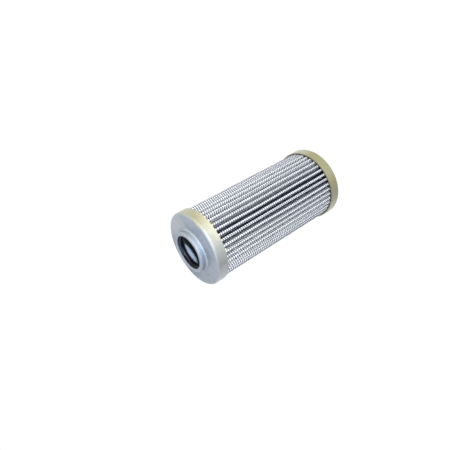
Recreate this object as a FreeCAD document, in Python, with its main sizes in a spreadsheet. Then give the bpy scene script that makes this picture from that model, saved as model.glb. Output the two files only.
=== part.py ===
import FreeCAD, Part
import math
import os
import Sketcher

# Pleated hydraulic filter element, in millimetres.
# It stands on its closed end cap: the axis is +Z, the origin is the centre of the cap's outer
# face, and the open end with its seal collar is at the top. The seam of the pack faces +X.

SIZES = (
    ("body_length", 103.0, "from the outer face of one end cap to that of the other"),
    ("cap_diameter", 47.0, "outside of both end caps"),
    ("cap_sheet", 0.7, "steel sheet of the end caps and the seal retainer"),
    ("cap_bend_radius", 0.9, "inside of the bend between face and skirt"),
    ("open_skirt", 7.0, "height of the open end cap's skirt"),
    ("closed_skirt", 7.6, "height of the closed end cap's skirt"),
    ("collar_height", 3.9, "collar above the cap's face"),
    ("collar_nose_radius", 0.45, "rounding of the collar's front edge"),
    ("collar_foot_radius", 0.9, "bend where the collar leaves the face"),
    ("collar_line_width", 0.5, "rolled line halfway up the collar"),
    ("collar_line_depth", 0.15, "depth of the rolled line"),
    ("bore_diameter", 19.0, "retainer sleeve, which guides the housing's spigot"),
    ("lip_clearance", 1.3, "from the bore's wall out to the collar's turned-in lip"),
    ("lip_chamfer", 0.2, "chamfer of the lip's opening"),
    ("retainer_height", 6.5, "retainer from flange face to sleeve end"),
    ("retainer_gap", 0.05, "radial clearance of the retainer in the collar"),
    ("ring_section", 2.62, "thickness of the seal ring"),
    ("ring_clearance", 0.16, "from the bore's wall out to the seal ring"),
    ("ring_gap", 0.02, "radial clearance of the seal ring in the collar"),
    ("core_inset", 0.4, "from the collar's outside in to the core tube's"),
    ("core_wall", 0.8, "wall of the core tube"),
    ("core_hole_diameter", 6.0, "perforations of the core tube"),
    ("core_holes_per_ring", 4, "perforations in one ring"),
    ("core_rings", 6, "rings of perforations, each turned half a step"),
    ("potting_depth", 1.5, "resin between each cap and the end of the pack"),
    ("pleat_count", 40, "pleats round the pack, the seam pleat included"),
    ("pleat_slit", 0.06, "slit between the two legs inside a pleat"),
    ("pleat_valley_radius", 0.05, "tightest bend at the foot of a valley"),
    ("skirt_gap", 0.3, "radial clearance from the pleats to the skirts"),
    ("core_gap", 0.1, "radial clearance from the pleats to the core tube"),
    ("outer_mesh_thickness", 0.22, "support mesh on the inflow side"),
    ("upstream_fleece_thickness", 0.08, "fleece between outer mesh and glass fibre"),
    ("glass_fibre_thickness", 0.3, "glass fibre filter medium"),
    ("downstream_fleece_thickness", 0.08, "fleece between glass fibre and inner mesh"),
    ("inner_mesh_thickness", 0.2, "support mesh on the outflow side"),
    ("seam_clip_sheet", 0.25, "strip folded over the pack's two ends"),
    ("seam_clip_depth", 5.0, "how far the strip reaches down the seam pleat"),
    ("seam_clip_gap", 0.03, "clearance inside the strip"),
)

LAYERS = (
    ("outer_support_mesh", "outer_mesh_thickness"),
    ("upstream_fleece", "upstream_fleece_thickness"),
    ("glass_fibre_medium", "glass_fibre_thickness"),
    ("downstream_fleece", "downstream_fleece_thickness"),
    ("inner_support_mesh", "inner_mesh_thickness"),
)

# Sizes worked out from the sheet, as expressions.
CAP_RADIUS = "(sizes.cap_diameter / 2)"
SKIRT_INSIDE = f"({CAP_RADIUS} - sizes.cap_sheet)"
FACE_LEVEL = "sizes.body_length"
PLATE_UNDERSIDE = f"({FACE_LEVEL} - sizes.cap_sheet)"
BEND_OUTSIDE = "(sizes.cap_bend_radius + sizes.cap_sheet)"
COLLAR_TOP = f"({FACE_LEVEL} + sizes.collar_height)"
BORE_RADIUS = "(sizes.bore_diameter / 2)"
LIP_RADIUS = f"({BORE_RADIUS} + sizes.lip_clearance)"
RING_INSIDE = f"({BORE_RADIUS} + sizes.ring_clearance)"
CHAMBER_RADIUS = f"({RING_INSIDE} + sizes.ring_section + sizes.ring_gap)"
COLLAR_RADIUS = f"({CHAMBER_RADIUS} + sizes.cap_sheet)"
CORE_RADIUS = f"({COLLAR_RADIUS} - sizes.core_inset)"
PACK_BOTTOM = "(sizes.cap_sheet + sizes.potting_depth)"
PACK_LENGTH = f"({PLATE_UNDERSIDE} - sizes.potting_depth - {PACK_BOTTOM})"
PACK_RADIUS = f"({SKIRT_INSIDE} - sizes.skirt_gap)"
PACK_THICKNESS = "(" + " + ".join(f"sizes.{thickness}" for _, thickness in LAYERS) + ")"
PLEAT_HALF_WIDTH = f"({PACK_THICKNESS} + sizes.pleat_slit / 2)"

# Flat facets that make up the bend of a crest and of a valley.
CREST_FACETS = 3
VALLEY_FACETS = 2
TOLERANCE = 1e-5

doc = FreeCAD.newDocument("filter_element")
sheet = doc.addObject("Spreadsheet::Sheet", "sizes")


def fill_sheet():
    for row, (alias, value, note) in enumerate(SIZES, start=1):
        sheet.set(f"A{row}", alias)
        sheet.set(f"B{row}", str(value))
        sheet.setAlias(f"B{row}", alias)
        sheet.set(f"C{row}", note)
    doc.recompute()


def number(expression):
    """The present value of an expression in the sheet's sizes."""
    return float(sheet.evalExpression(expression))


def origin_part(body, role):
    return next(part for part in body.Origin.OriginFeatures if part.Role == role)


def new_body(name):
    body = doc.addObject("PartDesign::Body", name)
    body.Label = name
    return body


def new_sketch(body, name, plane):
    sketch = body.newObject("Sketcher::SketchObject", name)
    sketch.AttachmentSupport = [(origin_part(body, plane), "")]
    sketch.MapMode = "FlatFace"
    return sketch


def constrain(sketch, value, *constraint):
    index = sketch.addConstraint(Sketcher.Constraint(*constraint, number(value)))
    sketch.setExpression(f"Constraints[{index}]", value)


def add_centred_circle(sketch, radius):
    centre = FreeCAD.Vector(0, 0, 0)
    normal = FreeCAD.Vector(0, 0, 1)
    circle = sketch.addGeometry(Part.Circle(centre, normal, number(radius)), False)
    sketch.addConstraint(Sketcher.Constraint("Coincident", circle, 3, -1, 1))
    constrain(sketch, radius, "Radius", circle)


def add_raised_circle(sketch, radius, up):
    """A circle straight above the sketch's origin."""
    centre = FreeCAD.Vector(0, number(up), 0)
    normal = FreeCAD.Vector(0, 0, 1)
    circle = sketch.addGeometry(Part.Circle(centre, normal, number(radius)), False)
    sketch.addConstraint(Sketcher.Constraint("PointOnObject", circle, 3, -2))
    constrain(sketch, up, "DistanceY", -1, 1, circle, 3)
    constrain(sketch, radius, "Radius", circle)


def round_sketch(body, name, level, *radii):
    """Concentric circles on a level plane."""
    sketch = new_sketch(body, name, "XY_Plane")
    sketch.setExpression("AttachmentOffset.Base.z", level)
    for radius in radii:
        add_centred_circle(sketch, radius)
    return sketch


def add_pad(body, name, level, height, *radii):
    """A disc, or with two radii a ring, standing on a level plane."""
    pad = body.newObject("PartDesign::Pad", name)
    pad.Profile = round_sketch(body, f"{name}_sketch", level, *radii)
    pad.setExpression("Length", height)
    doc.recompute()
    return pad


def check_cut(body, cut, volume_before):
    doc.recompute()
    if not cut.Shape.Volume < volume_before - TOLERANCE:
        raise RuntimeError(f"{cut.Name} removes nothing from {body.Label}")


def add_pocket(body, name, level, depth, *radii):
    """A round pocket, or with two radii a ring, that goes down from a level plane."""
    volume_before = body.Shape.Volume
    pocket = body.newObject("PartDesign::Pocket", name)
    pocket.Profile = round_sketch(body, f"{name}_sketch", level, *radii)
    pocket.setExpression("Length", depth)
    check_cut(body, pocket, volume_before)
    return pocket


def circles_at(shape, radius, level):
    """Names of the shape's round edges with a radius at a level."""
    names = []
    for index, edge in enumerate(shape.Edges, start=1):
        curve = edge.Curve
        if not isinstance(curve, Part.Circle):
            continue
        same_radius = abs(curve.Radius - number(radius)) < TOLERANCE
        same_level = abs(curve.Center.z - number(level)) < TOLERANCE
        if same_radius and same_level:
            names.append(f"Edge{index}")
    if not names:
        raise RuntimeError(f"no edge of radius {radius} at {level}")
    return names


def add_fillet(body, name, fillet_radius, edge_radius, level):
    base = body.Tip
    fillet = body.newObject("PartDesign::Fillet", name)
    fillet.Base = (base, circles_at(base.Shape, edge_radius, level))
    fillet.setExpression("Radius", fillet_radius)
    doc.recompute()


def add_chamfer(body, name, size, edge_radius, level):
    base = body.Tip
    chamfer = body.newObject("PartDesign::Chamfer", name)
    chamfer.Base = (base, circles_at(base.Shape, edge_radius, level))
    chamfer.setExpression("Size", size)
    doc.recompute()


def make_closed_end_cap():
    body = new_body("closed_end_cap")
    add_pad(body, "closed_cup", "0", "sizes.closed_skirt", CAP_RADIUS)
    hollow_depth = "(sizes.closed_skirt - sizes.cap_sheet)"
    add_pocket(body, "closed_cup_hollow", "sizes.closed_skirt", hollow_depth, SKIRT_INSIDE)
    add_fillet(body, "closed_cup_bend", BEND_OUTSIDE, CAP_RADIUS, "0")
    add_fillet(body, "closed_cup_inner_bend", "sizes.cap_bend_radius", SKIRT_INSIDE, "sizes.cap_sheet")
    return body


def make_open_end_cap():
    body = new_body("open_end_cap")
    rim_level = f"({FACE_LEVEL} - sizes.open_skirt)"
    lip_underside = f"({COLLAR_TOP} - sizes.cap_sheet)"
    add_pad(body, "open_cup", rim_level, "sizes.open_skirt", CAP_RADIUS)
    add_pad(body, "collar", FACE_LEVEL, "sizes.collar_height", COLLAR_RADIUS)
    hollow_depth = "(sizes.open_skirt - sizes.cap_sheet)"
    add_pocket(body, "open_cup_hollow", PLATE_UNDERSIDE, hollow_depth, SKIRT_INSIDE)
    chamber_depth = f"({lip_underside} - {PLATE_UNDERSIDE})"
    add_pocket(body, "seal_chamber", lip_underside, chamber_depth, CHAMBER_RADIUS)
    add_pocket(body, "lip_opening", COLLAR_TOP, "sizes.cap_sheet", LIP_RADIUS)
    add_fillet(body, "open_cup_bend", BEND_OUTSIDE, CAP_RADIUS, FACE_LEVEL)
    add_fillet(body, "open_cup_inner_bend", "sizes.cap_bend_radius", SKIRT_INSIDE, PLATE_UNDERSIDE)
    add_fillet(body, "collar_foot", "sizes.collar_foot_radius", COLLAR_RADIUS, FACE_LEVEL)
    add_fillet(body, "collar_nose", "sizes.collar_nose_radius", COLLAR_RADIUS, COLLAR_TOP)
    add_chamfer(body, "lip_edge", "sizes.lip_chamfer", LIP_RADIUS, COLLAR_TOP)
    line_level = f"({FACE_LEVEL} + (sizes.collar_height + sizes.collar_line_width) / 2)"
    line_bottom = f"({COLLAR_RADIUS} - sizes.collar_line_depth)"
    line_outside = f"({COLLAR_RADIUS} + sizes.collar_line_depth)"
    add_pocket(body, "collar_line", line_level, "sizes.collar_line_width", line_outside, line_bottom)
    return body


def make_seal_retainer():
    """The flanged sleeve that closes the seal chamber from below and guides the spigot."""
    body = new_body("seal_retainer")
    flange_radius = f"({CHAMBER_RADIUS} - sizes.retainer_gap)"
    sleeve_radius = f"({BORE_RADIUS} + sizes.cap_sheet)"
    sleeve_bottom = f"({FACE_LEVEL} - sizes.retainer_height)"
    add_pad(body, "flange", PLATE_UNDERSIDE, "sizes.cap_sheet", flange_radius, BORE_RADIUS)
    sleeve_height = "(sizes.retainer_height - sizes.cap_sheet)"
    add_pad(body, "sleeve", sleeve_bottom, sleeve_height, sleeve_radius, BORE_RADIUS)
    return body


def make_seal_ring():
    """The seal ring, which lies on the retainer's flange inside the collar."""
    ring = doc.addObject("Part::Torus", "seal_ring")
    ring.Label = "seal_ring"
    ring.setExpression("Radius2", "sizes.ring_section / 2")
    ring.setExpression("Radius1", f"{RING_INSIDE} + sizes.ring_section / 2")
    ring.setExpression("Placement.Base.z", f"{FACE_LEVEL} + sizes.ring_section / 2")
    return ring


def make_core_tube():
    body = new_body("core_tube")
    length = f"({PLATE_UNDERSIDE} - sizes.cap_sheet)"
    inner_radius = f"({CORE_RADIUS} - sizes.core_wall)"
    add_pad(body, "tube", "sizes.cap_sheet", length, CORE_RADIUS, inner_radius)
    add_core_holes(body, "even_holes", 0)
    add_core_holes(body, "odd_holes", 1)
    return body


def add_core_holes(body, name, first_ring):
    """Every second ring of perforations; the odd rings are turned by half a step."""
    volume_before = body.Shape.Volume
    rings = round(number("sizes.core_rings"))
    ring_pitch = f"({PACK_LENGTH} / sizes.core_rings)"
    sketch = new_sketch(body, f"{name}_sketch", "XZ_Plane")
    sketch.AttachmentOffset = FreeCAD.Placement(
        FreeCAD.Vector(0, 0, 0), FreeCAD.Rotation(FreeCAD.Vector(0, 1, 0), 0)
    )
    turn = f"{first_ring} * 180 / sizes.core_holes_per_ring"
    sketch.setExpression("AttachmentOffset.Rotation.Angle", turn)
    for ring in range(first_ring, rings, 2):
        up = f"({PACK_BOTTOM} + {ring_pitch} * {ring + 0.5})"
        add_raised_circle(sketch, "(sizes.core_hole_diameter / 2)", up)
    pocket = body.newObject("PartDesign::Pocket", f"{name}_first")
    pocket.Profile = sketch
    pocket.Type = "ThroughAll"
    check_cut(body, pocket, volume_before)
    volume_before = body.Shape.Volume
    pattern = body.newObject("PartDesign::PolarPattern", name)
    pattern.Originals = [pocket]
    pattern.Axis = (origin_part(body, "Z_Axis"), [""])
    pattern.Angle = 360
    pattern.setExpression("Occurrences", "sizes.core_holes_per_ring")
    body.Tip = pattern
    check_cut(body, pattern, volume_before)


def make_potting(name, level, bend_level):
    """A ring of resin that fills the bottom of a cap, from the core tube to the skirt."""
    body = new_body(name)
    add_pad(body, f"{name}_resin", level, "sizes.potting_depth", SKIRT_INSIDE, CORE_RADIUS)
    add_chamfer(body, f"{name}_edge", "sizes.cap_bend_radius", SKIRT_INSIDE, bend_level)
    return body


class Pleats:
    """The section of the pack. A depth is measured into the pack from its inflow side."""

    def __init__(self):
        self.count = round(number("sizes.pleat_count"))
        self.half_step = math.pi / self.count
        self.thickness = number(PACK_THICKNESS)
        self.half_width = number(PLEAT_HALF_WIDTH)
        self.crest_centre = number(PACK_RADIUS) - self.half_width
        self.valley_radius = self.fitted_valley_radius()
        bend_offset = self.half_width + self.valley_radius
        self.valley_centre = bend_offset / math.sin(self.half_step)

    def fitted_valley_radius(self):
        """The radius that brings the valleys' corners to the core tube, or the tightest bend."""
        pack_inside = number(CORE_RADIUS) + number("sizes.core_gap")
        corner = 1 / math.cos(self.valley_turn() / (VALLEY_FACETS + 1) / 2)
        centre = 1 / math.sin(self.half_step)
        reach = pack_inside + self.thickness * corner - self.half_width * centre
        return max(reach / (centre - corner), number("sizes.pleat_valley_radius"))

    def valley_turn(self):
        return math.pi - 2 * self.half_step

    def fold(self, centre_radius, centre_angle, start, turn, radius, facets):
        """Corners of a fold round a centre, from one leg to the next."""
        step = turn / (facets + 1)
        reach = radius / math.cos(step / 2)
        centre_x = centre_radius * math.cos(centre_angle)
        centre_y = centre_radius * math.sin(centre_angle)
        corners = []
        for index in range(facets + 1):
            angle = start + (index + 0.5) * step
            x = centre_x + reach * math.cos(angle)
            y = centre_y + reach * math.sin(angle)
            corners.append(FreeCAD.Vector(x, y, 0))
        return corners

    def crest(self, index, depth):
        angle = 2 * index * self.half_step
        start = angle - math.pi / 2
        radius = self.half_width - depth
        return self.fold(self.crest_centre, angle, start, math.pi, radius, CREST_FACETS)

    def valley(self, index, depth):
        angle = 2 * index * self.half_step
        start = angle - math.pi / 2
        middle = angle + self.half_step
        radius = self.valley_radius + depth
        turn = -self.valley_turn()
        return self.fold(self.valley_centre, middle, start, turn, radius, VALLEY_FACETS)

    def line(self, depth, seam_radius):
        """The folded line at a depth, from one end at the seam round to the other."""
        side = self.half_width - depth
        points = [FreeCAD.Vector(seam_radius, side, 0)]
        points += self.valley(0, depth)
        for index in range(1, self.count):
            points += self.crest(index, depth)
            points += self.valley(index, depth)
        points.append(FreeCAD.Vector(seam_radius, -side, 0))
        return points

    def layer(self, depth, thickness, seam_radius):
        """The closed section of one layer."""
        outline = self.line(depth, seam_radius)
        outline += reversed(self.line(depth + thickness, seam_radius))
        outline.append(outline[0])
        return Part.Face(Part.makePolygon(outline))


def make_layers():
    pleats = Pleats()
    clip_web = number("sizes.seam_clip_sheet + sizes.seam_clip_gap")
    seam_radius = number(PACK_RADIUS) - clip_web
    depth = 0.0
    layers = []
    for name, thickness_name in LAYERS:
        thickness = number(f"sizes.{thickness_name}")
        section = doc.addObject("Part::Feature", f"{name}_section")
        section.Shape = pleats.layer(depth, thickness, seam_radius)
        layer = doc.addObject("Part::Extrusion", name)
        layer.Label = name
        layer.Base = section
        layer.DirMode = "Custom"
        layer.Dir = FreeCAD.Vector(0, 0, 1)
        layer.Solid = True
        layer.setExpression("LengthFwd", PACK_LENGTH)
        layer.setExpression("Placement.Base.z", PACK_BOTTOM)
        depth += thickness
        layers.append(layer)
    return layers


def rectangle_sketch(body, name, left, right, half_height):
    """A rectangle on the level plane, centred on the X axis."""
    sketch = new_sketch(body, name, "XY_Plane")
    low = -number(half_height)
    high = number(half_height)
    corners = [
        FreeCAD.Vector(number(left), low, 0),
        FreeCAD.Vector(number(right), low, 0),
        FreeCAD.Vector(number(right), high, 0),
        FreeCAD.Vector(number(left), high, 0),
    ]
    for index in range(4):
        segment = Part.LineSegment(corners[index], corners[(index + 1) % 4])
        sketch.addGeometry(segment, False)
    for index in range(4):
        sketch.addConstraint(Sketcher.Constraint("Coincident", index, 2, (index + 1) % 4, 1))
    sketch.addConstraint(Sketcher.Constraint("Horizontal", 0))
    sketch.addConstraint(Sketcher.Constraint("Horizontal", 2))
    sketch.addConstraint(Sketcher.Constraint("Vertical", 1))
    sketch.addConstraint(Sketcher.Constraint("Symmetric", 0, 1, 3, 1, -1))
    constrain(sketch, left, "DistanceX", -1, 1, 0, 1)
    constrain(sketch, right, "DistanceX", -1, 1, 0, 2)
    constrain(sketch, f"(2 * {half_height})", "DistanceY", 0, 1, 2, 2)
    return sketch


def make_seam_clip():
    """The strip folded over the two ends of the pack, at the seam pleat."""
    body = new_body("seam_clip")
    inner_half = f"({PLEAT_HALF_WIDTH} + sizes.seam_clip_gap)"
    outer_half = f"({inner_half} + sizes.seam_clip_sheet)"
    web_inside = f"({PACK_RADIUS} - sizes.seam_clip_sheet)"
    leg_end = f"({PACK_RADIUS} - sizes.seam_clip_depth)"
    strip = body.newObject("PartDesign::Pad", "strip")
    strip.Profile = rectangle_sketch(body, "strip_sketch", leg_end, PACK_RADIUS, outer_half)
    strip.Profile[0].setExpression("AttachmentOffset.Base.z", PACK_BOTTOM)
    strip.setExpression("Length", PACK_LENGTH)
    doc.recompute()
    volume_before = body.Shape.Volume
    channel = body.newObject("PartDesign::Pocket", "channel")
    channel.Profile = rectangle_sketch(body, "channel_sketch", leg_end, web_inside, inner_half)
    channel.Profile[0].setExpression("AttachmentOffset.Base.z", PACK_BOTTOM)
    channel.Type = "ThroughAll"
    channel.Reversed = True
    check_cut(body, channel, volume_before)
    return body


def check_document():
    for item in doc.Objects:
        if "Invalid" in item.State or "Error" in item.State:
            raise RuntimeError(f"{item.Name} failed: {item.State}")


def export(pieces):
    os.makedirs("parts", exist_ok=True)
    for piece in pieces:
        if piece.Shape.isNull() or not piece.Shape.isValid():
            raise RuntimeError(f"{piece.Label} has no valid shape")
    for piece in pieces:
        piece.Shape.exportStep(f"parts/{piece.Label}.step")
        print(piece.Label, len(piece.Shape.Solids), round(piece.Shape.Volume, 2))


def main():
    fill_sheet()
    pieces = [
        make_closed_end_cap(),
        make_open_end_cap(),
        make_seal_retainer(),
        make_seal_ring(),
        make_core_tube(),
        make_potting("closed_end_potting", "sizes.cap_sheet", "sizes.cap_sheet"),
        make_potting(
            "open_end_potting", f"({PLATE_UNDERSIDE} - sizes.potting_depth)", PLATE_UNDERSIDE
        ),
        make_seam_clip(),
    ]
    pieces += make_layers()
    doc.recompute()
    check_document()
    export(pieces)


main()
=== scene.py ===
import math

import bpy
import numpy as np
from mathutils import Matrix, Vector


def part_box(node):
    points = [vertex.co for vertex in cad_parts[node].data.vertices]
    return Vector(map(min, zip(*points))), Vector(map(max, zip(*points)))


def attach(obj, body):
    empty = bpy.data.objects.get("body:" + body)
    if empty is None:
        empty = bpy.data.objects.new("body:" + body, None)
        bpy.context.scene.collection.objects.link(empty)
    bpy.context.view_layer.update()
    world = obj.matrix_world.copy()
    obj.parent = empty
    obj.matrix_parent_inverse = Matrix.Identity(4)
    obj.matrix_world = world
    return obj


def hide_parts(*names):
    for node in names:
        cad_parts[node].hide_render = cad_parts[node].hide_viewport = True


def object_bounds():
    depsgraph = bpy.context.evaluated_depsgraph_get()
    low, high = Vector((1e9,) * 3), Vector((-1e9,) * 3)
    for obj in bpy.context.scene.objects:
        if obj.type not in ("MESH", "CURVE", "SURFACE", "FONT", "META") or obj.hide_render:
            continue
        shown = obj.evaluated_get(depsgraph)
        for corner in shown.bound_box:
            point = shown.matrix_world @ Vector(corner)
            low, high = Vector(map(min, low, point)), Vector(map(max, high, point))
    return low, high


# Looks of a pleated hydraulic filter element. Lengths are in metres, in the frame of the solids:
# the element stands on its closed end cap, its axis is +Z and the seam of the pack faces +X.
# A turn is an angle round the axis in degrees, from -Y towards -X. A tone is a colour as it reads
# on a screen, from 0 to 255.

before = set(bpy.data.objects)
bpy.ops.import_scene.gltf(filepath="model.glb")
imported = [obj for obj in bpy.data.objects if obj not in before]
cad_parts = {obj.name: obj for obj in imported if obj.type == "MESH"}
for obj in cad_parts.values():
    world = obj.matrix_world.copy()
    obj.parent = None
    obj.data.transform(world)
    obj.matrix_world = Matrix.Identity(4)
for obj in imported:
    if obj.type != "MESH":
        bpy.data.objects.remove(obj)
cad_low, cad_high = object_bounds()

MM = 0.001

# Folded pack. A depth is measured into the pack from its inflow side.
PLEATS = 40
HALF_STEP = math.pi / PLEATS
PLEAT_HALF_WIDTH = 0.91 * MM
PACK_THICKNESS = 0.88 * MM
CORE_GAP = 0.1 * MM
SEAM_CLIP_WEB = 0.28 * MM
PACK_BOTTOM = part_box("outer_support_mesh")[0].z
PACK_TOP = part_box("outer_support_mesh")[1].z
PACK_RADIUS = -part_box("outer_support_mesh")[0].x
PACK_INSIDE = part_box("core_tube")[1].y + CORE_GAP
CREST_CENTRE = PACK_RADIUS - PLEAT_HALF_WIDTH
SEAM_REACH = PACK_RADIUS - SEAM_CLIP_WEB
VALLEY_RADIUS = (
    PACK_INSIDE + PACK_THICKNESS - PLEAT_HALF_WIDTH / math.sin(HALF_STEP)
) / (1 / math.sin(HALF_STEP) - 1)
VALLEY_ASIDE = PLEAT_HALF_WIDTH + VALLEY_RADIUS
VALLEY_OUT = VALLEY_ASIDE / math.tan(HALF_STEP)

# Steps over half a crest, a flank and half a valley, and rows along the axis.
FINE_STEPS = (5, 4, 3)
FINE_ROWS = 25
PLAIN_STEPS = (3, 3, 2)
PLAIN_ROWS = 13

# Edges that turn by more than this are shaded hard.
SHARP_ANGLE = math.radians(50)

# How unevenly the pleats lie: all lean a little the same way, and each leans, sinks and slides
# along the axis by itself. They are held at the valleys, and freer the farther out they reach.
# The lean's waves fade with this power of their number.
UNEVEN_SEED = 11
UNEVEN_WAVES = 4
COMMON_LEAN = 0.3 * MM
LEAN_REACH = 0.13 * MM
LEAN_FADE = 0.5
SINK_REACH = 0.12 * MM
SLIDE_REACH = 0.06 * MM
FREEDOM_POWER = 1.5

# Wires of the outer mesh.
ROUND_PITCH = 1.47 * MM
ROUND_WIRE = 0.2 * MM
LONG_PITCH = 2.2 * MM
LONG_WIRE = 0.08 * MM
WIRE_DEPTH = 0.11 * MM
WEAVE_REACH = 0.09 * MM
WIRE_SIDES = 4

# Drop of resin: turn, distance of its middle from the axis and under the skirt, and its reach
# outwards, round and up.
BEAD_TURN = 112
BEAD_OUT = 22.85 * MM
BEAD_DROP = 0.35 * MM
BEAD_REACH = (0.6 * MM, 0.8 * MM, 0.7 * MM)
BEAD_STEPS = 9

# Camera, from the photograph: focal length in pixels of a picture 450 pixels wide.
PHOTO_WIDTH = 450
FOCAL_PIXELS = 470
SENSOR_WIDTH = 36.0
CAMERA_NEAR = 0.01
CAMERA_FAR = 50.0
CAMERA_PLACE = Vector((-0.2510, -0.0034, 0.2150))
CAMERA_RIGHT = Vector((-0.4200, 0.4945, -0.7610))
CAMERA_UP = Vector((-0.2390, -0.8690, -0.4330))

# Softboxes: name, turn, lift over the floor's plane, share of white that it puts on a surface
# which faces it, distance, width, height and tint.
LAMPS = (
    ("key", 91, 22.5, 0.51, 0.7, 0.1, 0.05, (1.0, 0.99, 0.96)),
    ("side", 70, 6, 0.24, 0.7, 0.2, 0.2, (1.0, 1.0, 0.98)),
    ("top", 25, 20, 0.25, 0.8, 0.4, 0.4, (1.0, 0.97, 0.9)),
    ("low", 118, 15, 0.1, 0.8, 0.4, 0.4, (0.92, 0.96, 1.0)),
)
ROOM_LEVEL = 0.453
ROOM_TINT = (0.757, 0.854, 1.0, 1.0)

# Floor: its grey for the light that it throws back, and for the camera a glow with a little
# diffuse grey over it, which takes the shadow.
FLOOR_ALBEDO = 0.85
FLOOR_GLOW = 0.93
FLOOR_SHADOW = 0.2
FLOOR_SIZE = 8.0
FLOOR_GAP = 0.05 * MM


class FoldedLine:
    """A line folded like the pack, from the seam round to the seam, at one depth."""

    def __init__(self, depth, crest_steps, flank_steps, valley_steps):
        reach = PLEAT_HALF_WIDTH - depth
        bend = VALLEY_RADIUS + depth
        valley_turn = np.linspace(math.pi - HALF_STEP, math.pi / 2, valley_steps + 1)
        crest_turn = np.linspace(-math.pi / 2, 0, crest_steps + 1)[1:]
        flank_out = np.linspace(VALLEY_OUT, CREST_CENTRE, flank_steps + 1)[1:]
        leg_out = np.concatenate([VALLEY_OUT + bend * np.cos(valley_turn), flank_out])
        leg_aside = np.concatenate(
            [-VALLEY_ASIDE + bend * np.sin(valley_turn), np.full(flank_steps, -reach)]
        )
        half_out = np.concatenate([leg_out, CREST_CENTRE + reach * np.cos(crest_turn)])
        half_aside = np.concatenate([leg_aside, reach * np.sin(crest_turn)])
        pleat_out = np.concatenate([half_out, half_out[-2:0:-1]])
        pleat_aside = np.concatenate([half_aside, -half_aside[-2:0:-1]])
        seam_out = np.append(leg_out, SEAM_REACH)
        seam_aside = np.append(leg_aside, -reach)
        inner = PLEATS - 1
        self.out = np.concatenate([seam_out[:0:-1], np.tile(pleat_out, inner), seam_out])
        self.aside = np.concatenate([-seam_aside[:0:-1], np.tile(pleat_aside, inner), seam_aside])
        self.pleat = np.concatenate(
            [
                np.zeros(len(seam_out) - 1, int),
                np.repeat(np.arange(1, PLEATS), len(pleat_out)),
                np.zeros(len(seam_out), int),
            ]
        )
        angle = 2 * HALF_STEP * self.pleat
        self.out_way = np.stack([np.cos(angle), np.sin(angle)], axis=1)
        self.aside_way = np.stack([-np.sin(angle), np.cos(angle)], axis=1)
        share = (self.out - VALLEY_OUT) / (CREST_CENTRE - VALLEY_OUT)
        self.freedom = np.clip(share, 0, 1) ** FREEDOM_POWER

    def places(self, heights, slides=False):
        """Points of the line at each height, as an array (heights, points, 3)."""
        lean, sink, slide = unevenness(heights)
        out = self.out - self.freedom * sink[:, self.pleat]
        aside = self.aside + self.freedom * lean[:, self.pleat]
        flat = out[..., None] * self.out_way + aside[..., None] * self.aside_way
        level = np.repeat(heights[:, None], len(self.out), axis=1)
        if slides:
            level = level + self.freedom * slide[:, self.pleat]
        return np.concatenate([flat, level[..., None]], axis=2)


def unevenness(heights):
    """How far each pleat leans, sinks and slides at each height, as arrays (heights, pleats)."""
    rng = np.random.default_rng(UNEVEN_SEED)
    along = (heights - PACK_BOTTOM) / (PACK_TOP - PACK_BOTTOM)
    waves = np.arange(1, UNEVEN_WAVES + 1)[:, None]
    swing = np.sin(math.pi * along[:, None] * waves[:, 0])
    free = np.ones(PLEATS)
    free[0] = 0
    lean = LEAN_REACH * swing @ (rng.normal(0, 1, (UNEVEN_WAVES, PLEATS)) / waves ** LEAN_FADE)
    lean += COMMON_LEAN
    slide = SLIDE_REACH * swing @ (rng.normal(0, 1, (UNEVEN_WAVES, PLEATS)) / waves)
    sink = SINK_REACH * swing[:, :1] * rng.uniform(0, 1, PLEATS)
    return lean * free, sink * free, slide * free


def add_object(name, data):
    made = bpy.data.objects.new(name, data)
    bpy.context.scene.collection.objects.link(made)
    return made


def smooth_object(name, points, faces, material):
    """A mesh object shaded smooth, except over hard edges."""
    mesh = bpy.data.meshes.new(name)
    mesh.from_pydata(points.reshape(-1, 3).tolist(), [], faces)
    mesh.polygons.foreach_set("use_smooth", np.ones(len(mesh.polygons), bool))
    mesh.set_sharp_from_angle(angle=SHARP_ANGLE)
    mesh.materials.append(material)
    mesh.update()
    return add_object(name, mesh)


def new_piece(name, points, faces, node, material):
    """A mesh piece that stands for a node of the frame, which it hides, and takes the given finish.
    """
    piece = smooth_object(name, points, faces, material)
    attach(piece, "root")
    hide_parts(node)


def quads(*corners):
    """Faces from four arrays of indices, one for each corner, as a list of index rows."""
    return np.stack(corners, axis=-1).reshape(-1, 4).tolist()


def add_folded_layer(name, node, slot, material, depth, thickness, steps, rows):
    """A closed sheet with smooth folds between two depths."""
    heights = np.linspace(PACK_BOTTOM, PACK_TOP, rows)
    inflow = FoldedLine(depth, *steps).places(heights)
    outflow = FoldedLine(depth + thickness, *steps).places(heights)
    columns = inflow.shape[1]
    near = np.arange(rows * columns).reshape(rows, columns)
    far = near + near.size
    faces = quads(near[:-1, :-1], near[:-1, 1:], near[1:, 1:], near[1:, :-1])
    faces += quads(far[1:, :-1], far[1:, 1:], far[:-1, 1:], far[:-1, :-1])
    faces += quads(near[0, :-1], far[0, :-1], far[0, 1:], near[0, 1:])
    faces += quads(near[-1, 1:], far[-1, 1:], far[-1, :-1], near[-1, :-1])
    faces += quads(near[:-1, 0], near[1:, 0], far[1:, 0], far[:-1, 0])
    faces += quads(far[:-1, -1], far[1:, -1], near[1:, -1], near[:-1, -1])
    points = np.concatenate([inflow.reshape(-1, 3), outflow.reshape(-1, 3)])
    new_piece(name, points, faces, node, material)


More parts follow.
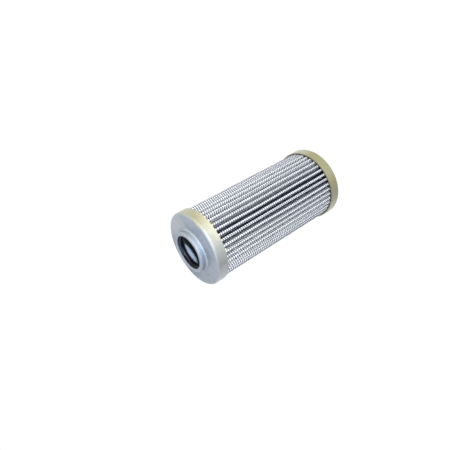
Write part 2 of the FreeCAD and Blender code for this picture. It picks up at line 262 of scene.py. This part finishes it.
def add_wires(names, material, paths, normals, radius):
    """Wires as closed tubes along paths (wires, points, 3), half of them in each named piece."""
    along = np.gradient(paths, axis=1)
    across = np.cross(along, normals)
    across /= np.linalg.norm(across, axis=2, keepdims=True)
    turn = 2 * math.pi * np.arange(WIRE_SIDES) / WIRE_SIDES
    ring = (
        normals[:, :, None, :] * np.cos(turn)[None, None, :, None]
        + across[:, :, None, :] * np.sin(turn)[None, None, :, None]
    )
    points = paths[:, :, None, :] + radius * ring
    half = len(paths) // 2
    for name, part in zip(names, (points[:half], points[half:])):
        index = np.arange(part.size // 3).reshape(part.shape[:3])
        turned = np.roll(index, -1, axis=2)
        faces = quads(index[:, :-1], index[:, 1:], turned[:, 1:], turned[:, :-1])
        faces += index[:, 0].tolist()
        faces += index[:, -1, ::-1].tolist()
        new_piece(name, part, faces, "outer_support_mesh", material)


def unit(vectors):
    return vectors / np.linalg.norm(vectors, axis=-1, keepdims=True)


def add_outer_mesh(material):
    """The woven support mesh: wires round the pack, and wires along it that pass over and under."""
    count = int((PACK_TOP - PACK_BOTTOM) / ROUND_PITCH)
    margin = (PACK_TOP - PACK_BOTTOM - (count - 1) * ROUND_PITCH) / 2
    heights = PACK_BOTTOM + margin + ROUND_PITCH * np.arange(count)
    middle = FoldedLine(WIRE_DEPTH, *PLAIN_STEPS).places(heights, slides=True)
    above = FoldedLine(WIRE_DEPTH - WEAVE_REACH, *PLAIN_STEPS).places(heights, slides=True)
    normals = unit(above - middle)
    names = ("outer_mesh_round_wires_lower", "outer_mesh_round_wires_upper")
    add_wires(names, material, middle, normals, ROUND_WIRE)
    stretch = np.linalg.norm(np.diff(middle[0], axis=0), axis=1)
    length = np.concatenate([[0], np.cumsum(stretch)])
    marks = np.arange(LONG_PITCH / 2, length[-1], LONG_PITCH)
    before = np.searchsorted(length, marks) - 1
    share = ((marks - length[before]) / stretch[before])[None, :, None]
    paths = middle[:, before] * (1 - share) + middle[:, before + 1] * share
    lifts = unit(normals[:, before] * (1 - share) + normals[:, before + 1] * share)
    over = (-1.0) ** (np.arange(count)[:, None] + np.arange(len(marks))[None, :])
    paths = (paths + WEAVE_REACH * over[..., None] * lifts).swapaxes(0, 1)
    lifts = lifts.swapaxes(0, 1)
    paths[:, 0, 2] = PACK_BOTTOM
    paths[:, -1, 2] = PACK_TOP
    names = ("outer_mesh_long_wires_left", "outer_mesh_long_wires_right")
    add_wires(names, material, paths, lifts, LONG_WIRE)


def round_the_axis(turn, lift=0):
    """Direction at a turn round the axis, lifted over the floor by so many degrees."""
    turn = math.radians(turn)
    lift = math.radians(lift)
    level = math.cos(lift)
    return Vector((-math.sin(turn) * level, -math.cos(turn) * level, math.sin(lift)))


def linear(tone):
    """A tone as the linear colour that a shader takes."""
    shades = []
    for level in tone:
        level = level / 255
        shades.append(level / 12.92 if level <= 0.04045 else ((level + 0.055) / 1.055) ** 2.4)
    return (*shades, 1.0)


# Range that most of a noise lies in, and its middle.
NOISE_RANGE = (0.3, 0.7)
NOISE_MIDDLE = 0.5


class Finish:
    """A material under construction. Values and colours are sockets, or else numbers and tones."""

    def __init__(self, name, roughness, metallic=0.0):
        self.material = bpy.data.materials.new(name)
        self.material.use_nodes = True
        self.tree = self.material.node_tree
        self.shader = self.tree.nodes["Principled BSDF"]
        self.shader.inputs["Roughness"].default_value = roughness
        self.shader.inputs["Metallic"].default_value = metallic

    def node(self, kind, **settings):
        made = self.tree.nodes.new(kind)
        for name, value in settings.items():
            setattr(made, name, value)
        return made

    def feed(self, target, value):
        """Links a socket to an input, or sets the input to a number, a vector or a tone."""
        if isinstance(value, bpy.types.NodeSocket):
            self.tree.links.new(value, target)
        else:
            target.default_value = linear(value) if isinstance(value, tuple) else value

    def place(self, scale=(1, 1, 1)):
        """Object coordinates, stretched by scale."""
        coordinates = self.node("ShaderNodeTexCoord")
        mapping = self.node("ShaderNodeMapping")
        mapping.inputs["Scale"].default_value = scale
        self.feed(mapping.inputs["Vector"], coordinates.outputs["Object"])
        return mapping.outputs["Vector"]

    def noise(self, size, detail=4.0, scale=(1, 1, 1), rough=0.55):
        """Noise whose patches are about that size in metres, from 0 to 1."""
        made = self.node("ShaderNodeTexNoise")
        made.inputs["Scale"].default_value = 1 / size
        made.inputs["Detail"].default_value = detail
        made.inputs["Roughness"].default_value = rough
        self.feed(made.inputs["Vector"], self.place(scale))
        return made.outputs["Fac"]

    def ramp(self, value, stops):
        """A colour that follows value through stops of (position, tone)."""
        made = self.node("ShaderNodeValToRGB")
        elements = made.color_ramp.elements
        while len(elements) < len(stops):
            elements.new(0.5)
        for element, (position, tone) in zip(elements, stops):
            element.position = position
            element.color = linear(tone)
        self.feed(made.inputs["Fac"], value)
        return made.outputs["Color"]

    def shades(self, noise, dark, light, span=NOISE_RANGE):
        """A colour between two tones that follows noise over its span."""
        return self.ramp(noise, ((span[0], dark), (span[1], light)))

    def spread(self, value, low, high, start=0.0, end=1.0):
        """Value taken from the range low to high into start to end."""
        made = self.node("ShaderNodeMapRange")
        made.inputs["From Min"].default_value = low
        made.inputs["From Max"].default_value = high
        made.inputs["To Min"].default_value = start
        made.inputs["To Max"].default_value = end
        self.feed(made.inputs["Value"], value)
        return made.outputs["Result"]

    def mix(self, share, first, second):
        """The first colour where share is 0, and the second where it is 1."""
        made = self.node("ShaderNodeMix", data_type="RGBA")
        for index, value in ((0, share), (6, first), (7, second)):
            self.feed(made.inputs[index], value)
        return made.outputs[2]

    def calc(self, operation, first, second=0.0):
        made = self.node("ShaderNodeMath", operation=operation)
        self.feed(made.inputs[0], first)
        self.feed(made.inputs[1], second)
        return made.outputs["Value"]

    def both(self, first, second):
        """Product of two values, as the share of a place that lies in two zones."""
        return self.calc("MULTIPLY", first, second)

    def distance(self, value, middle):
        return self.calc("ABSOLUTE", self.calc("SUBTRACT", value, middle))

    def axes(self):
        """The three object coordinates."""
        split = self.node("ShaderNodeSeparateXYZ")
        self.feed(split.inputs["Vector"], self.place())
        return split.outputs["X"], split.outputs["Y"], split.outputs["Z"]

    def height(self):
        return self.axes()[2]

    def distance_from_axis(self):
        across, aside, _ = self.axes()
        squares = self.calc("ADD", self.calc("POWER", across, 2), self.calc("POWER", aside, 2))
        return self.calc("SQRT", squares)

    def nearness(self, turn):
        """Cosine of the angle round the axis to that turn."""
        across, aside, _ = self.axes()
        way = round_the_axis(turn)
        part = self.calc("ADD", self.both(across, way.x), self.both(aside, way.y))
        return self.calc("DIVIDE", part, self.distance_from_axis())

    def side(self, turn, low, high, share=1.0):
        """That share at a turn, where nearness passes high, falling to 0 where it is low."""
        return self.spread(self.nearness(turn), low, high, 0, share)

    def spot(self, place, reach):
        """1 within a third of that reach from a place of the object, falling to 0 at the reach."""
        made = self.node("ShaderNodeVectorMath", operation="DISTANCE")
        self.feed(made.inputs[0], self.place())
        self.feed(made.inputs[1], place)
        return self.spread(made.outputs["Value"], reach, reach / 3)

    def colour(self, socket):
        self.feed(self.shader.inputs["Base Color"], socket)

    def roughness(self, noise, smooth, rough):
        made = self.spread(noise, *NOISE_RANGE, smooth, rough)
        self.feed(self.shader.inputs["Roughness"], made)

    def bump(self, height, distance, strength):
        made = self.node("ShaderNodeBump")
        made.inputs["Strength"].default_value = strength
        made.inputs["Distance"].default_value = distance
        self.feed(made.inputs["Height"], height)
        self.feed(self.shader.inputs["Normal"], made.outputs["Normal"])


# Plate of the caps: size of its grain, and the range of the grain's noise that shows.
PLATE_METALLIC = 0.45
GRAIN_SIZE = 0.35 * MM
GRAIN_RANGE = (0.35, 0.75)


class Plate(Finish):
    """Zinc plate with patches and a fine grain, whose tone changes round the axis, partly as
    painted highlights and shade.
    """

    def __init__(self, name, patch_size, wander):
        super().__init__(name, roughness=0.5, metallic=PLATE_METALLIC)
        self.patches = self.noise(patch_size, detail=5)
        self.grain = self.noise(GRAIN_SIZE, detail=3)
        drift = self.both(self.calc("SUBTRACT", self.patches, NOISE_MIDDLE), wander)
        # Place round the axis, from the turn 180 at 0 to the turn 0 at 1, along which painted
        # highlights and shade are laid.
        self.around = self.spread(self.calc("ADD", self.nearness(0), drift), -1, 1)

    def settle(self, colour, grain_tone, grain_share, roughness, strength):
        """Puts the grain over the colour and sets the rest of the shader."""
        grain = self.spread(self.grain, *GRAIN_RANGE, 0, grain_share)
        self.colour(self.mix(grain, colour, grain_tone))
        self.roughness(self.patches, *roughness)
        self.bump(self.grain, distance=0.02 * MM, strength=strength)
        return self.material


# Open end cap. A band is a pair of heights between which one tone gives way to the next. A side
# is a turn, the nearness to it where a tone begins and where it is full, and its share there.
FACE_LEVEL = cad_high.z - 3.9 * MM
FACE_BAND = (FACE_LEVEL + 0.4 * MM, FACE_LEVEL + 0.1 * MM)
SKIRT_BAND = (FACE_LEVEL - 0.3 * MM, FACE_LEVEL - 0.85 * MM)
COLLAR_FOOT = (FACE_LEVEL + 0.3 * MM, FACE_LEVEL + 1.2 * MM)
COLLAR_EDGE = (FACE_LEVEL + 3.8 * MM, FACE_LEVEL + 3.2 * MM)
COLLAR_REACH = (13.9 * MM, 14.9 * MM)
FACE_TONES = ((164, 174, 187), (196, 202, 209))
# Streaks of the plate, drawn out along Y.
STREAK_SIZE = 1.2 * MM
STREAK_SHARE = 0.4
STREAK_STRETCH = (1, 0.12, 1)
# Skirt: its yellow tint, with painted shade towards the turn 130, a painted highlight near the turn
# 70 and painted reflections at the turns 0 and 180.
# Stops from the turn 180 (position 0) to the turn 0 (position 1).
SKIRT_TINT_AND_PAINTED_LIGHT_STOPS = (
    (0.0, (220, 222, 226)),
    (0.06, (184, 187, 190)),
    (0.18, (142, 144, 142)),
    (0.33, (164, 167, 164)),
    (0.6, (198, 199, 188)),
    (0.68, (198, 196, 172)),
    (0.82, (172, 168, 133)),
    (0.93, (182, 180, 153)),
    (1.0, (206, 205, 186)),
)
# Collar: blue tint with a painted highlight on its side near the turn 90, by the same positions.
COLLAR_TINT_AND_PAINTED_HIGHLIGHT_STOPS = (
    (0.03, (155, 166, 177)),
    (0.12, (147, 163, 182)),
    (0.25, (150, 168, 193)),
    (0.5, (173, 188, 207)),
    (0.88, (165, 172, 178)),
)
# Yellow tint of the skirt's lower part, lightened as a painted highlight on the side at the turn
# 68.
TINGE_AND_HIGHLIGHT_BAND = (FACE_LEVEL - 3.0 * MM, FACE_LEVEL - 6.5 * MM)
TINGE_AND_HIGHLIGHT_SIDE = (68, 0.85, 0.98, 0.5)
TINGE_AND_HIGHLIGHT_TONE = (222, 217, 172)
# Painted highlight on one side of the face, and painted shadow of the collar on the other.
FACE_PAINTED_HIGHLIGHT_SIDE = (-14, 0.8, 0.98, 0.7)
FACE_PAINTED_HIGHLIGHT_TONE = (210, 210, 212)
FACE_PAINTED_SHADOW_SIDE = (-102, 0.55, 0.95, 0.7)
FACE_PAINTED_SHADOW_TONE = (138, 150, 162)
# Painted highlight on the bend between the face and the skirt.
BEND_LEVEL = FACE_LEVEL - 0.45 * MM
BEND_REACH = (0.3 * MM, 0.12 * MM)
BEND_HIGHLIGHT_SIDE = (97, 0.88, 0.99, 0.6)
BEND_HIGHLIGHT_TONE = (214, 224, 236)
# Small dark specks on the face: place and reach.
SPECKS = (
    (Vector((-0.019, -0.0128, FACE_LEVEL)), 0.35 * MM),
    (Vector((-0.0012, 0.017, FACE_LEVEL)), 0.5 * MM),
)
SPECK_TONE = (70, 78, 92)


def zinc_finish():
    """Blue-grey zinc plate, with a yellow tinge and a painted highlight on one side of the skirt,
    and painted highlights, shadow and reflections elsewhere round the axis.
    """
    made = Plate("zinc_steel", patch_size=5 * MM, wander=0.16)
    height = made.height()
    streaks = made.noise(STREAK_SIZE, detail=3, scale=STREAK_STRETCH)
    top = made.shades(made.mix(STREAK_SHARE, made.patches, streaks), *FACE_TONES)
    outside = made.spread(made.distance_from_axis(), *COLLAR_REACH)
    face = made.both(outside, made.spread(height, *FACE_BAND))
    # Painted highlight and painted collar shadow on the face.
    top = made.mix(made.both(face, made.side(*FACE_PAINTED_HIGHLIGHT_SIDE)), top, FACE_PAINTED_HIGHLIGHT_TONE)
    top = made.mix(made.both(face, made.side(*FACE_PAINTED_SHADOW_SIDE)), top, FACE_PAINTED_SHADOW_TONE)
    collar = made.both(made.spread(height, *COLLAR_FOOT), made.spread(height, *COLLAR_EDGE))
    # Painted highlight on the collar's side.
    top = made.mix(collar, top, made.ramp(made.around, COLLAR_TINT_AND_PAINTED_HIGHLIGHT_STOPS))
    # Yellow tint lightened as a painted highlight towards the skirt's rear edge.
    tinge_and_highlight = made.both(made.spread(height, *TINGE_AND_HIGHLIGHT_BAND), made.side(*TINGE_AND_HIGHLIGHT_SIDE))
    skirt = made.mix(tinge_and_highlight, made.ramp(made.around, SKIRT_TINT_AND_PAINTED_LIGHT_STOPS), TINGE_AND_HIGHLIGHT_TONE)
    colour = made.mix(made.spread(height, *SKIRT_BAND), top, skirt)
    # Painted highlight along the bend.
    bend = made.both(
        made.spread(made.distance(height, BEND_LEVEL), *BEND_REACH), made.side(*BEND_HIGHLIGHT_SIDE)
    )
    colour = made.mix(bend, colour, BEND_HIGHLIGHT_TONE)
    for place, reach in SPECKS:
        colour = made.mix(made.spot(place, reach), colour, SPECK_TONE)
    return made.settle(
        colour, grain_tone=(120, 128, 138), grain_share=0.2, roughness=(0.46, 0.58), strength=0.3
    )


# Closed end cap: yellow plate with painted reflections near the turns 0 and 180 and painted shade
# between, with stops as those of the open end cap's skirt.
YELLOW_AND_PAINTED_LIGHT_STOPS = (
    (0.0, (200, 198, 166)),
    (0.07, (175, 173, 152)),
    (0.18, (143, 141, 118)),
    (0.33, (140, 137, 105)),
    (0.5, (161, 158, 125)),
    (0.82, (156, 153, 113)),
    (0.93, (184, 182, 156)),
    (1.0, (206, 204, 178)),
)


def yellow_zinc_finish():
    made = Plate("yellow_zinc_steel", patch_size=6 * MM, wander=0.2)
    plate = made.ramp(made.around, YELLOW_AND_PAINTED_LIGHT_STOPS)
    return made.settle(
        plate, grain_tone=(146, 142, 118), grain_share=0.25, roughness=(0.36, 0.5), strength=0.35
    )


# Metal inside the element: patches drawn out along the axis.
DRAWN_SIZE = 2 * MM
DRAWN_STRETCH = (1, 1, 0.2)


def bright_zinc_finish(name, dark, light, smooth, rough):
    made = Finish(name, roughness=rough, metallic=0.8)
    patches = made.noise(DRAWN_SIZE, scale=DRAWN_STRETCH)
    made.colour(made.shades(patches, dark, light))
    made.roughness(patches, smooth, rough)
    made.bump(patches, distance=0.01 * MM, strength=0.3)
    return made.material


# Sleeve: tones of its bright part, which ends in a painted shadow down the bore and in painted
# shade at its top under the seal ring. The painted shadow lies lowest at the turn and rises by the
# tilt over a quarter turn.
SLEEVE_TONES = ((199, 224, 254), (213, 234, 255))
SLEEVE_TURN = 258
SLEEVE_TILT = 8 * MM
SLEEVE_WANDER = 0.8 * MM
SLEEVE_PAINTED_SHADOW_BAND = (FACE_LEVEL - 2.3 * MM, FACE_LEVEL - 3.2 * MM)
SLEEVE_PAINTED_SHADOW_TONE = (62, 68, 78)
SLEEVE_TOP_PAINTED_SHADE_BAND = (FACE_LEVEL - 0.9 * MM, FACE_LEVEL - 0.1 * MM)
SLEEVE_TOP_PAINTED_SHADE_TONE = (44, 48, 68)


def retainer_finish():
    """Bright zinc sleeve, with a painted shadow down the bore and painted shade at its top under
    the seal ring.
    """
    made = Finish("retainer_steel", roughness=0.5, metallic=0.1)
    height = made.height()
    patches = made.noise(DRAWN_SIZE, scale=DRAWN_STRETCH)
    wander = made.both(patches, SLEEVE_WANDER)
    # Edge of the painted shadow, lowest at the sleeve's turn and rising to either side.
    tilt = made.both(made.calc("SUBTRACT", 1.0, made.nearness(SLEEVE_TURN)), SLEEVE_TILT)
    depth = made.calc("SUBTRACT", made.calc("ADD", height, wander), tilt)
    plate = made.shades(patches, *SLEEVE_TONES)
    plate = made.mix(made.spread(height, *SLEEVE_TOP_PAINTED_SHADE_BAND), plate, SLEEVE_TOP_PAINTED_SHADE_TONE)
    made.colour(made.mix(made.spread(depth, *SLEEVE_PAINTED_SHADOW_BAND), plate, SLEEVE_PAINTED_SHADOW_TONE))
    made.bump(patches, distance=0.01 * MM, strength=0.3)
    return made.material


# Seal ring: a painted highlight round its middle and a painted blue reflection over it. Heights are
# from its middle.
RUBBER_TONES = ((10, 10, 12), (20, 19, 24))
RING_HIGHLIGHT_RISE = 0.1 * MM
RING_HIGHLIGHT_REACH = (0.7 * MM, 0.1 * MM)
RING_HIGHLIGHT_SIDE = (268, 0.85, 1.0)
RING_HIGHLIGHT_TONE = (82, 84, 108)
RING_REFLECTION_RISE = (0.5 * MM, 1.0 * MM)
RING_REFLECTION_SIDE = (305, 0.75, 0.95)
RING_REFLECTION_TONE = (62, 76, 104)


def rubber_finish():
    made = Finish("seal_rubber", roughness=0.35)
    low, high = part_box("seal_ring")
    middle = (low.z + high.z) / 2
    height = made.height()
    patches = made.noise(size=1.2 * MM)
    upper_band = (middle + rise for rise in RING_REFLECTION_RISE)
    upper = made.both(made.spread(height, *upper_band), made.side(*RING_REFLECTION_SIDE))
    # Painted blue reflection over the ring's middle.
    with_painted_reflection = made.mix(upper, made.shades(patches, *RUBBER_TONES), RING_REFLECTION_TONE)
    off = made.distance(height, middle + RING_HIGHLIGHT_RISE)
    # Painted highlight round the ring's middle.
    ring_highlight = made.both(made.spread(off, *RING_HIGHLIGHT_REACH), made.side(*RING_HIGHLIGHT_SIDE))
    made.colour(made.mix(ring_highlight, with_painted_reflection, RING_HIGHLIGHT_TONE))
    made.roughness(patches, smooth=0.22, rough=0.36)
    made.shader.inputs["Specular IOR Level"].default_value = 0.2
    made.bump(patches, distance=0.01 * MM, strength=0.3)
    return made.material


def resin_finish():
    made = Finish("potting_resin", roughness=0.35)
    patches = made.noise(size=3 * MM)
    made.colour(made.shades(patches, (214, 208, 160), (238, 235, 200)))
    made.bump(patches, distance=0.05 * MM, strength=0.4)
    return made.material


def wire_finish():
    made = Finish("coated_mesh", roughness=0.4, metallic=0.3)
    patches = made.noise(size=4 * MM)
    made.colour(made.shades(patches, (58, 64, 88), (72, 78, 104)))
    made.roughness(patches, smooth=0.32, rough=0.5)
    return made.material


# Inner mesh: distances from a wire's middle at which the wire ends and the gap beside it is full.
SHEET_WIRE = (0.14 * MM, 0.2 * MM)


def sheet_mesh_finish():
    """The inner mesh, whose wires are a pattern on its sheet."""
    made = Finish("inner_mesh_sheet", roughness=0.45, metallic=0.3)
    row = made.calc("PINGPONG", made.height(), ROUND_PITCH / 2)
    gap = made.spread(row, *SHEET_WIRE)
    made.colour(made.mix(gap, (100, 106, 122), (205, 208, 214)))
    made.bump(gap, distance=0.1 * MM, strength=0.6)
    return made.material


# Fibres of the fleece and of the glass fibre.
FIBRE_SIZE = 0.5 * MM
FIBRE_STRETCH = (1, 1, 0.35)
FIBRE_RANGE = (0.3, 0.65)
PATCH_SHARE = 0.3


def fleece_finish(name, dark, light):
    made = Finish(name, roughness=0.85)
    fibres = made.noise(FIBRE_SIZE, detail=6, scale=FIBRE_STRETCH, rough=0.7)
    patches = made.noise(size=6 * MM, detail=3)
    tone = made.mix(PATCH_SHARE, fibres, patches)
    made.colour(made.shades(tone, dark, light, FIBRE_RANGE))
    made.bump(fibres, distance=0.05 * MM, strength=0.5)
    return made.material


def dress_frame(resin):
    """Gives their finishes to the solids that stay in sight."""
    core = bright_zinc_finish("core_steel", (120, 124, 130), (150, 154, 160), 0.34, 0.48)
    clip = bright_zinc_finish("clip_steel", (150, 154, 160), (184, 188, 194), 0.3, 0.44)
    finishes = {
        "open_end_cap": zinc_finish(),
        "closed_end_cap": yellow_zinc_finish(),
        "seal_ring": rubber_finish(),
        "seal_retainer": retainer_finish(),
        "core_tube": core,
        "seam_clip": clip,
        "closed_end_potting": resin,
        "open_end_potting": resin,
    }
    for node, material in finishes.items():
        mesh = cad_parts[node].data
        mesh.materials.clear()
        mesh.materials.append(material)


def add_pack():
    """The layers of the pack from the outside in, and the outer mesh round them."""
    white = fleece_finish("white_fleece", (222, 226, 232), (244, 245, 246))
    glass = fleece_finish("glass_fibre", (226, 226, 216), (246, 246, 240))
    sheet = sheet_mesh_finish()
    fine = (FINE_STEPS, FINE_ROWS)
    plain = (PLAIN_STEPS, PLAIN_ROWS)
    layers = (
        ("upstream_fleece_folds", "upstream_fleece", "white_fleece", white, fine),
        ("glass_fibre_folds", "glass_fibre_medium", "glass_fibre", glass, plain),
        ("downstream_fleece_folds", "downstream_fleece", "white_fleece", white, plain),
        ("inner_mesh_folds", "inner_support_mesh", "coated_mesh", sheet, plain),
    )
    depths = [PACK_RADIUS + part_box(node)[0].x for _, node, *_ in layers]
    depths.append(PACK_THICKNESS)
    for layer, depth, end in zip(layers, depths, depths[1:]):
        *names, material, (steps, rows) = layer
        add_folded_layer(*names, material, depth, end - depth, steps, rows)
    add_outer_mesh(wire_finish())


def add_resin_bead(resin):
    """A drop of resin squeezed out under the edge of the open end cap's skirt."""
    out = round_the_axis(BEAD_TURN)
    centre = out * BEAD_OUT + Vector((0, 0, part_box("open_end_cap")[0].z - BEAD_DROP))
    tall = np.linspace(-math.pi / 2, math.pi / 2, BEAD_STEPS)[1:-1]
    round_about = np.linspace(0, 2 * math.pi, 2 * BEAD_STEPS, endpoint=False)
    ball = np.stack(
        [
            np.outer(np.cos(tall), np.cos(round_about)),
            np.outer(np.cos(tall), np.sin(round_about)),
            np.outer(np.sin(tall), np.ones(len(round_about))),
        ],
        axis=2,
    ).reshape(-1, 3)
    axes = np.array([out, (-out.y, out.x, 0), (0, 0, 1)]) * np.array(BEAD_REACH)[:, None]
    points = np.concatenate([ball, [(0, 0, -1), (0, 0, 1)]]) @ axes + np.array(centre)
    index = np.arange(len(ball)).reshape(len(tall), len(round_about))
    turned = np.roll(index, -1, axis=1)
    faces = quads(index[:-1], turned[:-1], turned[1:], index[1:])
    low_tip, high_tip = len(ball), len(ball) + 1
    faces += [(low_tip, b, a) for a, b in zip(index[0].tolist(), turned[0].tolist())]
    faces += [(high_tip, a, b) for a, b in zip(index[-1].tolist(), turned[-1].tolist())]
    bead = smooth_object("resin_bead", points, faces, resin)
    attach(bead, "root")


def add_camera():
    data = bpy.data.cameras.new("camera")
    data.sensor_width = SENSOR_WIDTH
    data.lens = SENSOR_WIDTH * FOCAL_PIXELS / PHOTO_WIDTH
    data.clip_start = CAMERA_NEAR
    data.clip_end = CAMERA_FAR
    camera = add_object("camera", data)
    right = CAMERA_RIGHT.normalized()
    back = right.cross(CAMERA_UP).normalized()
    up = back.cross(right)
    turn = Matrix((right, up, back)).transposed().to_4x4()
    camera.matrix_world = Matrix.Translation(CAMERA_PLACE) @ turn
    bpy.context.scene.camera = camera


def add_lamp(name, turn, lift, share, distance, width, height, tint):
    """A softbox that shines at the middle of the element."""
    towards = round_the_axis(turn, lift)
    data = bpy.data.lights.new(name, "AREA")
    data.shape = "RECTANGLE"
    data.size = width
    data.size_y = height
    # Power that lights a white surface to that share of white.
    data.energy = share * (math.pi * distance) ** 2
    data.color = tint
    lamp = add_object(name, data)
    middle = (cad_low + cad_high) / 2
    lamp.location = middle + towards * distance
    lamp.rotation_mode = "QUATERNION"
    lamp.rotation_quaternion = towards.to_track_quat("Z", "Y")


def background_share(tree):
    """1 for rays that see the background directly, in metal or through glass."""
    path = tree.nodes.new("ShaderNodeLightPath")
    total = path.outputs["Is Camera Ray"]
    for output in ("Is Glossy Ray", "Is Transmission Ray"):
        both = tree.nodes.new("ShaderNodeMath")
        both.operation = "MAXIMUM"
        tree.links.new(total, both.inputs[0])
        tree.links.new(path.outputs[output], both.inputs[1])
        total = both.outputs["Value"]
    return total


def grey_shader(tree, kind, level):
    made = tree.nodes.new(kind)
    made.inputs["Color"].default_value = (level, level, level, 1)
    return made.outputs[0]


def mixed_shader(tree, share, first, second):
    made = tree.nodes.new("ShaderNodeMixShader")
    tree.links.new(share, made.inputs["Fac"])
    tree.links.new(first, made.inputs[1])
    tree.links.new(second, made.inputs[2])
    return made.outputs["Shader"]


def add_room():
    """A pale bluish room for the light, and white where it is seen."""
    world = bpy.data.worlds.new("room")
    bpy.context.scene.world = world
    world.use_nodes = True
    tree = world.node_tree
    light = tree.nodes["Background"]
    light.inputs["Color"].default_value = ROOM_TINT
    light.inputs["Strength"].default_value = ROOM_LEVEL
    white = grey_shader(tree, "ShaderNodeBackground", 1)
    room = mixed_shader(tree, background_share(tree), light.outputs["Background"], white)
    tree.links.new(room, tree.nodes["World Output"].inputs["Surface"])


def add_floor():
    """A pale floor just under the closed cap, which is clear from underneath."""
    half = FLOOR_SIZE / 2
    corners = [(-half, -half, 0), (half, -half, 0), (half, half, 0), (-half, half, 0)]
    mesh = bpy.data.meshes.new("floor")
    mesh.from_pydata(corners, [], [(0, 1, 2, 3)])
    material = bpy.data.materials.new("floor")
    material.use_nodes = True
    tree = material.node_tree
    tree.nodes.remove(tree.nodes["Principled BSDF"])
    seen = tree.nodes.new("ShaderNodeAddShader")
    tree.links.new(grey_shader(tree, "ShaderNodeEmission", FLOOR_GLOW), seen.inputs[0])
    tree.links.new(grey_shader(tree, "ShaderNodeBsdfDiffuse", FLOOR_SHADOW), seen.inputs[1])
    plain = grey_shader(tree, "ShaderNodeBsdfDiffuse", FLOOR_ALBEDO)
    upper = mixed_shader(tree, background_share(tree), plain, seen.outputs["Shader"])
    under = tree.nodes.new("ShaderNodeNewGeometry").outputs["Backfacing"]
    clear = tree.nodes.new("ShaderNodeBsdfTransparent").outputs["BSDF"]
    surface = mixed_shader(tree, under, upper, clear)
    tree.links.new(surface, tree.nodes["Material Output"].inputs["Surface"])
    mesh.materials.append(material)
    floor = add_object("floor", mesh)
    floor.location.z = cad_low.z - FLOOR_GAP


resin = resin_finish()
dress_frame(resin)
add_pack()
add_resin_bead(resin)
add_camera()
for lamp in LAMPS:
    add_lamp(*lamp)
add_room()
add_floor()
bpy.context.scene.view_settings.view_transform = "Standard"
